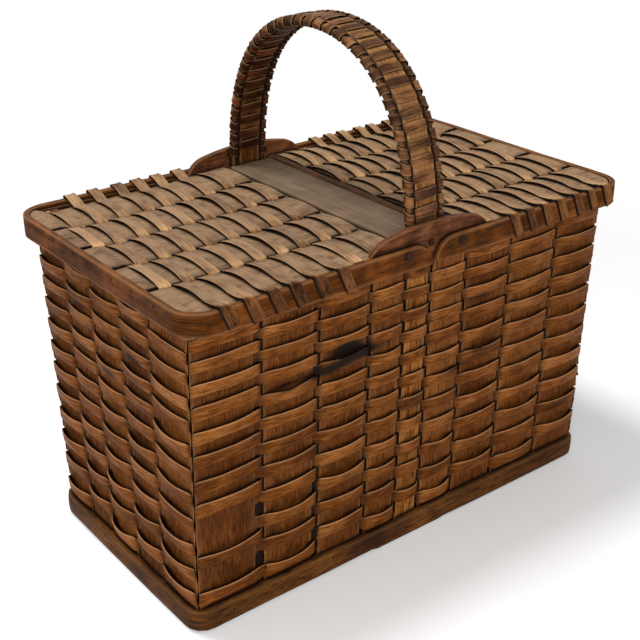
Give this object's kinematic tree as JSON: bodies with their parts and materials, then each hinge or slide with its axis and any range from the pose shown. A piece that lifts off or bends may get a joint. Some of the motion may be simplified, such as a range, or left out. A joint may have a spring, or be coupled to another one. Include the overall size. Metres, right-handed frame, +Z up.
{
  "type": "splint picnic basket",
  "caption": "Rectangular woven ash-splint basket with a tall bound bentwood handle and two woven lids that hinge beside a centre board.",
  "frame": {"origin": "middle of the footprint, on the plane that the base hoop stands on", "axes": "+X along the basket towards the right lid, +Y across it from the front to the back, +Z up"},
  "size_m": [0.456, 0.2736, 0.4412],
  "materials": {
    "base_hoop_wood": "dark oiled bentwood, worn and grimy along the foot",
    "upright_splint": "aged ash splint, warm brown, fine upright grain, satin",
    "weaver_splint": "aged ash splint, warm brown with lighter worn edges, satin",
    "rim_wood": "bentwood strip, brown, satin",
    "handle_wood": "bentwood, brown, satin from handling",
    "binding_splint": "thin splint, tan where it is worn, satin",
    "crescent_wood": "reddish brown plank, smooth worn finish",
    "nail_iron": "dark forged iron, dull",
    "board_wood": "grey-brown weathered board, dry and matt",
    "lid_band_wood": "reddish brown bentwood, satin with worn edges",
    "lid_splint": "sun-greyed tan ash splint, dry and matt",
    "hinge_bar_wood": "dark grey-brown stick, matt"
  },
  "bodies": {
    "basket": {"base_hoop": "base_hoop_wood", "floor_cross_splints": "upright_splint", "floor_long_splints": "upright_splint", "front_uprights": "upright_splint", "back_uprights": "upright_splint", "left_uprights": "upright_splint", "right_uprights": "upright_splint", "wall_weavers": "weaver_splint", "inner_rim_hoop": "rim_wood", "left_rim_hoop": "rim_wood", "right_rim_hoop": "rim_wood", "handle_core": "handle_wood", "left_handle_rib": "handle_wood", "right_handle_rib": "handle_wood", "handle_binding": "binding_splint", "front_crescent": "crescent_wood", "back_crescent": "crescent_wood", "crescent_nails": "nail_iron", "centre_board": "board_wood"},
    "left_lid": {"left_lid_band": "lid_band_wood", "left_lid_hoop": "lid_band_wood", "left_lid_strips": "lid_splint", "left_lid_weavers": "lid_splint", "left_hinge_strip": "hinge_bar_wood", "left_pivot_nails": "nail_iron"},
    "right_lid": {"right_lid_band": "lid_band_wood", "right_lid_hoop": "lid_band_wood", "right_lid_strips": "lid_splint", "right_lid_weavers": "lid_splint", "right_hinge_rod": "hinge_bar_wood", "right_pivot_nails": "nail_iron"}
  },
  "joints": [
    {"name": "left_lid_hinge", "type": "hinge", "parent": "basket", "child": "left_lid", "pos_m": [-0.0285, 0, 0.2835], "axis": [0, 1, 0], "range_deg": [0, 90]},
    {"name": "right_lid_hinge", "type": "hinge", "parent": "basket", "child": "right_lid", "pos_m": [0.0285, 0, 0.2835], "axis": [0, -1, 0], "range_deg": [0, 90]}
  ]
}
